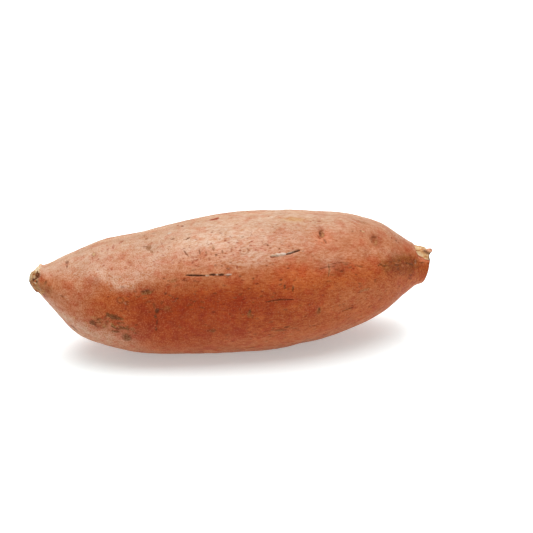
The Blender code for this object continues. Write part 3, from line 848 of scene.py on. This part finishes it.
def share_of(spots, mark):
    """Distance from a mark's middle, as a share of its half sizes."""
    x, y = spots.from_centre(mark.along, mark.angle)
    tilt = math.radians(mark.tilt)
    along_mark = (x * math.cos(tilt) + y * math.sin(tilt)) / mark.long
    across_mark = (y * math.cos(tilt) - x * math.sin(tilt)) / mark.high
    return np.hypot(along_mark, across_mark)


def off_line(spots, points):
    """Distance in millimetres from a line over the skin, and how far along it the nearest place is."""
    nearest = np.full(len(spots.place), np.inf)
    share = np.zeros(len(spots.place))
    pieces = len(points) - 1
    for k in range(pieces):
        start, end = points[k], points[k + 1]
        x, y = spots.from_centre(*start)
        radius = float(mean_radius(np.array([start[0]]))[0])
        run = end[0] - start[0], math.radians(end[1] - start[1]) * radius
        length = math.hypot(*run)
        t = np.clip((x * run[0] + y * run[1]) / length**2, 0.0, 1.0)
        distance = np.hypot(x - t * run[0], y - t * run[1])
        closer = distance < nearest
        nearest = np.where(closer, distance, nearest)
        share = np.where(closer, (k + t) / pieces, share)
    return nearest, share


def spacing_at(spots):
    """How far apart the points should be at each place, in millimetres."""
    in_front = (spots.angle > FRONT[0]) & (spots.angle < FRONT[1])
    wanted = np.where(in_front, FRONT_SPACING, BACK_SPACING)
    for mark in ALL_MARKS:
        least = max(FINEST_SPACING, MARK_SHARE * min(mark.long, mark.high))
        near = share_of(spots, mark) < MARK_MARGIN + mark.soft / 2
        wanted = np.where(near, np.minimum(wanted, least), wanted)
    for ring in RINGS:
        x, y = spots.from_centre(ring.along, ring.angle)
        near = np.hypot(x, y) < ring.radius + RING_MARGIN * ring.half_width
        wanted = np.where(near, np.minimum(wanted, ring.half_width), wanted)
    for line in ALL_LINES:
        near = off_line(spots, line.points)[0] < LINE_MARGIN * line.half_width
        wanted = np.where(near, FINEST_SPACING, wanted)
    at_end = (spots.place < STATIONS[1].along) | (spots.place > STATIONS[-3].along)
    wanted = np.where(at_end, np.minimum(wanted, END_SPACING), wanted)
    x, y = spots.from_centre(*KNOB_PLACE)
    return np.where(np.hypot(x, y) < KNOB_MARGIN * KNOB_RADIUS, KNOB_SPACING, wanted)


def coarse_tube():
    """A closed tube in place along the root, cosine and sine, with a point at each tip."""
    first = STATIONS[0].along - STUB.run[-1]
    last = STATIONS[-1].along + NECK.run[-1]
    steps = round((last - first) / COARSE_STEP)
    places = np.linspace(first, last, steps + 1)
    places[0] += TIP_GAP
    places[-1] -= TIP_GAP
    angles = np.linspace(0.0, 2 * np.pi, COARSE_ROUND, endpoint=False)
    mesh = bmesh.new()
    loops = [[mesh.verts.new((p, math.cos(a), math.sin(a))) for a in angles] for p in places]
    for here, there in zip(loops, loops[1:]):
        for k in range(COARSE_ROUND):
            after = (k + 1) % COARSE_ROUND
            mesh.faces.new((here[k], there[k], there[after], here[after]))
    for ring, tip in ((loops[0], first), (loops[-1], last)):
        point = mesh.verts.new((tip, 0.0, 0.0))
        for k in range(COARSE_ROUND):
            mesh.faces.new((ring[k], ring[(k + 1) % COARSE_ROUND], point))
    bmesh.ops.recalc_face_normals(mesh, faces=mesh.faces)
    return mesh


def edge_lengths(spots, ends):
    """The length of each edge over the skin, in millimetres."""
    here, there = ends.T
    narrowed = STUB.narrowed(spots.over_stub) * NECK.narrowed(spots.over_neck)
    radius = (spots.radius * narrowed)[ends].mean(axis=1)
    round_root = np.radians(turn_from(spots.angle[here], spots.angle[there])) * radius
    return np.hypot(spots.place[here] - spots.place[there], round_root)


def cut_finely(mesh):
    """Halves the edges that are too long for where they lie, until none is."""
    for _ in range(MOST_ROUNDS):
        mesh.verts.index_update()
        spots = Spots(np.array([vert.co[:] for vert in mesh.verts]))
        ends = np.array([[vert.index for vert in edge.verts] for edge in mesh.edges])
        wanted = spacing_at(spots)[ends].min(axis=1)
        too_long = edge_lengths(spots, ends) > LONGEST_EDGE * wanted
        edges = [edge for edge, cut in zip(mesh.edges, too_long) if cut]
        if not edges:
            break
        bmesh.ops.subdivide_edges(mesh, edges=edges, cuts=1, use_grid_fill=True)


def linear(shade):
    """A named colour as light, which is what the shaders mix, by the standard curve of a screen."""
    value = np.array(SHADES[shade]) / 255.0
    return np.where(value <= 0.04045, value / 12.92, ((value + 0.055) / 1.055) ** 2.4)


def blended(colours, shade, amount):
    return colours + (linear(shade) - colours) * amount[:, None]


# The skin's own tone round the root, with painted light along the top and painted shade low on the
# front
def skin_tone_and_shading(spots):
    angles = [tone.angle for tone in TONES]
    shades = np.array([linear(tone.shade) for tone in TONES])
    return np.stack([np.interp(spots.angle, angles, shades[:, k]) for k in range(3)], axis=-1)


def washed(spots, colours, broad, middle):
    """The colours with the wide stretches of skin, painted light and shade among them, and slow
    unevenness in.
    """
    for zone in ZONES:
        along = (spots.place - zone.along) / zone.reach_along
        across = turn_from(spots.angle, zone.angle) / zone.reach_round
        distance = np.hypot(along, across) + ZONE_EDGE_BROAD * broad + ZONE_EDGE_MIDDLE * middle
        colours = blended(colours, zone.shade, zone.strength * hill(np.maximum(distance, 0.0)))
    return colours * (1.0 + MOTTLE * broad + MOTTLE * middle)[:, None]


def fibrous(colours, layers, area, fibre):
    """The colours with shades laid over an area, each among its own part of the fibres."""
    for layer in layers:
        amount = layer.strength * area * ease(layer.start + layer.gain * fibre)
        colours = blended(colours, layer.shade, amount)
    return colours


def torn_open(spots, points, colours, height):
    """The colours and relief with the flesh of both torn ends in, and pale edges of skin round it."""
    turn = np.radians(spots.angle)
    across = FIBRE_TUBE * np.cos(turn), FIBRE_TUBE * np.sin(turn)
    fibre = lumps(np.stack([FIBRE_ALONG * spots.place, *across], axis=-1), FIBRE_SIZE, FIBRE_SEED)
    grain = lumps(points, FLESH_GRAIN_SIZE, FLESH_GRAIN_SEED)
    for rims, outward in ((STUB_RIM, -1.0), (NECK_RIM, 1.0)):
        rim = np.interp(spots.angle, [rim.angle for rim in rims], [rim.along for rim in rims])
        past = outward * (spots.place - rim) + RIM_UNEVEN * grain
        flesh = ease(past / RIM_FADE + 0.5)
        colours = blended(colours, "pale", LIP_STRENGTH * hill((past + LIP_BACK) / LIP_WIDTH))
        colours = blended(colours, "straw", flesh)
        colours = fibrous(colours, FLESH_SHADES, flesh, fibre)
        height = height + flesh * (FIBRE_HEIGHT * fibre + FLESH_GRAIN_HEIGHT * grain - FLESH_DEPTH)
    low_side = hill(turn_from(spots.angle, LOW_ANGLE) / LOW_REACH)
    on_stub = ease(STATIONS[0].along + LOW_MARGIN - spots.place)
    return fibrous(colours, LOW_SHADES, low_side * on_stub, fibre), height


def painted(spots, points):
    """The colour and the fine relief of the skin at every point."""
    edge = layered(points, EDGE_LUMPS)
    broad = layered(points, BROAD_LUMPS)
    colours = washed(spots, skin_tone_and_shading(spots), broad, layered(points, MIDDLE_LUMPS))
    colours, height = torn_open(spots, points, colours, layered(points, SKIN_LUMPS))
    for mark in ALL_MARKS:
        distance = share_of(spots, mark)
        inside = ease((1.0 + edge - distance) / mark.soft + 0.5)
        colours = blended(colours, mark.shade, mark.strength * inside)
        height += mark.height * hill(distance * MARK_RELIEF)
    for ring in RINGS:
        x, y = spots.from_centre(ring.along, ring.angle)
        across = (np.hypot(x, y) - ring.radius) / ring.half_width
        inside = hill(across + edge)
        colours = blended(colours, ring.shade, ring.strength * inside)
        height += ring.height * hill(across)
    for line in ALL_LINES:
        distance, share = off_line(spots, line.points)
        narrowing = 1.0 - LINE_NARROWING * np.abs(2.0 * share - 1.0) ** LINE_NARROWING_POWER
        across = distance / (line.half_width * narrowing)
        inside = ease(LINE_REACH + edge - across)
        colours = blended(colours, line.shade, line.strength * inside)
        height += line.height * hill(across * LINE_RELIEF)
    return colours, height


def grain_kinds(spots):
    """How much the skin's grain runs along the root, how much round it, and its contrast."""
    low = spread(spots.place - LOW_GRAIN_ALONG.centre, LOW_GRAIN_ALONG)
    low = low * spread(turn_from(spots.angle, LOW_GRAIN_ROUND.centre), LOW_GRAIN_ROUND)
    near_stub = spread(spots.place - STUB_GRAIN.centre, STUB_GRAIN)
    round_root = np.maximum(np.maximum(low, near_stub), rising(spots.place, NECK_GRAIN))
    contrast = rising(np.abs(turn_from(spots.angle, TOP)), TOP_CONTRAST)
    contrast -= spread(turn_from(spots.angle, BACK_CONTRAST.centre), BACK_CONTRAST)
    return np.stack([rising(spots.place, ALONG_GRAIN), round_root, contrast], axis=-1)


def shaped(domain):
    """Every point of the skin in metres, and its colour."""
    spots = Spots(domain)
    plain = skin(spots.along, spots.angle)
    past_ends = np.zeros_like(plain)
    past_ends[:, 0] = spots.place - spots.along
    colours, height = painted(spots, plain + past_ends)
    points = skin(spots.along, spots.angle, height)
    stub = STUB.face(spots.over_stub, spots.angle, height)
    neck = NECK.face(spots.over_neck, spots.angle, height)
    points = np.where((spots.over_stub > 0)[:, None], stub, points)
    points = np.where((spots.over_neck > 0)[:, None], neck, points)
    points, knob = torn(points, spots.along)
    foot = KNOB_FOOT_STRENGTH * hill((knob - KNOB_FOOT_SHARE) / KNOB_FOOT_WIDTH)
    front = ease(turn_from(spots.angle, KNOB_SHADE_ANGLE) / KNOB_SHADE_FADE)
    colours = blended(colours, "umber", foot * front)
    colours = blended(colours, "rose", ease(KNOB_TIP_GAIN * knob - KNOB_TIP_START))
    return settled(points, plain) * MM, colours, spots


def settled(points, plain):
    """The points in the part's frame, on the flat spot that the part lies on."""
    low, high = (np.array(corner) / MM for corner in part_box(NODE_NAME))
    floor = plain[:, 2].min() + FLAT_SPOT_DEPTH
    middle = (points.min(axis=0) + points.max(axis=0)) / 2
    points = points - [middle[0] - (low[0] + high[0]) / 2, middle[1] - (low[1] + high[1]) / 2, floor]
    points[:, 2] = np.maximum(points[:, 2], 0.0)
    return points


class Nodes:
    """Adds shader nodes to a material and links them."""

    def __init__(self, material):
        material.use_nodes = True
        self.tree = material.node_tree
        self.shader = self.tree.nodes["Principled BSDF"]

    def add(self, kind, inputs, **settings):
        made = self.tree.nodes.new("ShaderNode" + kind)
        for name, value in settings.items():
            setattr(made, name, value)
        for name, value in inputs.items():
            self.put(made.inputs[name], value)
        return made

    def put(self, socket, value):
        if isinstance(value, bpy.types.NodeSocket):
            self.tree.links.new(value, socket)
        else:
            socket.default_value = value

    def read(self, name, output):
        """An attribute of the mesh."""
        return self.add("Attribute", {}, attribute_name=name).outputs[output]

    def stretched(self, vector, scale):
        inputs = {"Vector": vector, "Scale": scale}
        return self.add("Mapping", inputs).outputs["Vector"]

    def noise(self, vector, kind):
        inputs = {"Scale": 1.0, "Detail": kind.detail, "Roughness": kind.roughness}
        inputs["Vector"] = self.stretched(vector, kind.scale)
        return self.add("TexNoise", inputs).outputs[0]

    def between(self, value, low, high, start, end):
        """The value carried smoothly from low..high to start..end."""
        inputs = {"Value": value, "From Min": low, "From Max": high, "To Min": start, "To Max": end}
        made = self.add("MapRange", inputs, interpolation_type="SMOOTHSTEP")
        return made.outputs["Result"]

    def dots(self, vector, kind):
        """1 in the middles of some cells of the texture, which have dots of different sizes."""
        inputs = {"Vector": self.stretched(vector, kind.scale), "Scale": 1.0}
        cells = self.add("TexVoronoi", inputs)
        chance = self.add("SeparateColor", {"Color": cells.outputs["Color"]}).outputs["Red"]
        reach = self.between(chance, kind.scarcity, 1.0, 0.0, kind.size)
        inside = self.math("SUBTRACT", reach, cells.outputs["Distance"])
        return self.between(inside, 0.0, kind.size / 2, 0.0, 1.0)

    def blend_values(self, amount, first, second):
        return self.add("Mix", {0: amount, 2: first, 3: second}).outputs[0]

    def math(self, operation, first, second):
        made = self.add("Math", {0: first, 1: second}, operation=operation)
        return made.outputs["Value"]

    def mix(self, amount, first, second, blend="MIX"):
        """Two colours mixed. The node's colour inputs are its seventh and eighth."""
        inputs = {0: amount, 6: first, 7: second}
        made = self.add("Mix", inputs, data_type="RGBA", blend_type=blend)
        return made.outputs[2]


def rgba(shade):
    return (*linear(shade), 1.0)


def skin_material():
    material = bpy.data.materials.new("sweet_potato_skin")
    nodes = Nodes(material)
    here = nodes.add("TexCoord", {}).outputs["Object"]
    tint = nodes.read("tint", "Color")
    place = nodes.read("place", "Vector")
    kinds = nodes.add("SeparateXYZ", {"Vector": nodes.read("grain", "Vector")})

    speckle = nodes.noise(here, SPECKLE_NOISE)
    grain = nodes.blend_values(kinds.outputs["X"], speckle, nodes.noise(here, LENGTHWISE_NOISE))
    grain = nodes.blend_values(kinds.outputs["Y"], grain, nodes.noise(place, ROUND_NOISE))
    grain = nodes.blend_values(CLOUD_SHARE, grain, nodes.noise(here, CLOUD_NOISE))
    warmth = nodes.mix(nodes.between(grain, *GRAIN_TO_TONE), WARMER, COOLER)
    colour = nodes.mix(kinds.outputs["Z"], tint, nodes.mix(1.0, tint, warmth, "MULTIPLY"))
    orange = nodes.mix(1.0, colour, rgba("orange"), "SOFT_LIGHT")
    blotch = nodes.noise(here, BLOTCH_NOISE)
    colour = nodes.mix(nodes.between(blotch, *BLOTCH_TO_ORANGE), colour, orange)

    dots = {kind.name: nodes.dots(here, kind) for kind in DOTS}
    for kind in DOTS:
        shown = nodes.math("MULTIPLY", dots[kind.name], kind.strength)
        colour = nodes.mix(shown, colour, rgba(kind.shade))
    colour = nodes.mix(nodes.between(speckle, *SPECKLE_TO_DUST), colour, rgba("rose"))

    nodes.put(nodes.shader.inputs["Base Color"], colour)
    nodes.put(nodes.shader.inputs["Roughness"], nodes.between(grain, *GRAIN_TO_ROUGHNESS))
    nodes.shader.inputs["Specular IOR Level"].default_value = SKIN_SPECULAR

    height = nodes.math("SUBTRACT", grain, nodes.math("MULTIPLY", dots["pores"], PORE_DEPTH))
    inputs = {"Height": height, "Strength": BUMP_STRENGTH, "Distance": BUMP_DISTANCE}
    bump = nodes.add("Bump", inputs)
    nodes.put(nodes.shader.inputs["Normal"], bump.outputs["Normal"])
    return material


def grow_potato():
    """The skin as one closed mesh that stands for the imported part."""
    tube = coarse_tube()
    cut_finely(tube)
    mesh = bpy.data.meshes.new("potato_skin")
    tube.to_mesh(mesh)
    tube.free()
    domain = np.empty(len(mesh.vertices) * 3)
    mesh.vertices.foreach_get("co", domain)
    points, colours, spots = shaped(domain.reshape(-1, 3))
    mesh.vertices.foreach_set("co", points.ravel())
    tint = mesh.attributes.new("tint", "FLOAT_COLOR", "POINT")
    tint.data.foreach_set("color", np.column_stack([colours, np.ones(len(colours))]).ravel())
    turn = np.radians(spots.angle)
    vectors = {
        "place": np.stack([spots.place, np.cos(turn), np.sin(turn)], axis=-1),
        "grain": grain_kinds(spots),
    }
    for name, values in vectors.items():
        attribute = mesh.attributes.new(name, "FLOAT_VECTOR", "POINT")
        attribute.data.foreach_set("vector", values.ravel())
    mesh.update()
    mesh.shade_smooth()
    mesh.materials.append(skin_material())
    potato = bpy.data.objects.new("potato_skin", mesh)
    bpy.context.scene.collection.objects.link(potato)
    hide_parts(NODE_NAME)
    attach(potato, "root")


def lay_floor():
    mesh = bpy.data.meshes.new("floor")
    corners = [(x * FLOOR_HALF, y * FLOOR_HALF, 0.0) for x, y in ((-1, -1), (1, -1), (1, 1), (-1, 1))]
    mesh.from_pydata(corners, [], [(0, 1, 2, 3)])
    material = bpy.data.materials.new("pale_floor")
    material.use_nodes = True
    shader = material.node_tree.nodes["Principled BSDF"]
    shader.inputs["Base Color"].default_value = FLOOR_SHADE
    shader.inputs["Roughness"].default_value = FLOOR_ROUGHNESS
    shader.inputs["Specular IOR Level"].default_value = 0.0
    shader.inputs["Emission Color"].default_value = FLOOR_SHADE
    shader.inputs["Emission Strength"].default_value = FLOOR_GLOW
    mesh.materials.append(material)
    floor = bpy.data.objects.new("floor", mesh)
    bpy.context.scene.collection.objects.link(floor)


def aim(thing, spot, towards):
    """Puts a lamp or the camera at a spot, looking towards a point."""
    thing.location = spot
    thing.rotation_mode = "QUATERNION"
    thing.rotation_quaternion = (Vector(towards) - Vector(spot)).to_track_quat("-Z", "Y")
    bpy.context.scene.collection.objects.link(thing)


def light_studio():
    for lamp in LAMPS:
        light = bpy.data.lights.new(lamp.name, "AREA")
        light.size = lamp.size
        light.energy = lamp.power
        spot = Vector(lamp.towards).normalized() * LAMP_DISTANCE
        aim(bpy.data.objects.new(lamp.name, light), spot, CAMERA_TARGET)
    world = bpy.data.worlds.new("studio")
    world.use_nodes = True
    background = world.node_tree.nodes["Background"]
    background.inputs["Color"].default_value = (1.0, 1.0, 1.0, 1.0)
    background.inputs["Strength"].default_value = WORLD_STRENGTH
    bpy.context.scene.world = world


def place_camera():
    azimuth, elevation = math.radians(CAMERA_AZIMUTH), math.radians(CAMERA_ELEVATION)
    level = math.cos(elevation)
    back = Vector((math.sin(azimuth) * level, -math.cos(azimuth) * level, math.sin(elevation)))
    right = Vector((math.cos(azimuth), math.sin(azimuth), 0.0))
    target = Vector(CAMERA_TARGET) + right * CAMERA_ASIDE + back.cross(right) * CAMERA_ABOVE
    camera = bpy.data.objects.new("camera", bpy.data.cameras.new("camera"))
    camera.data.lens = CAMERA_LENS
    camera.data.sensor_width = CAMERA_SENSOR
    aim(camera, target + back * CAMERA_DISTANCE, target)
    bpy.context.scene.camera = camera


place_camera()
light_studio()
lay_floor()
grow_potato()
bpy.context.scene.view_settings.view_transform = "Standard"
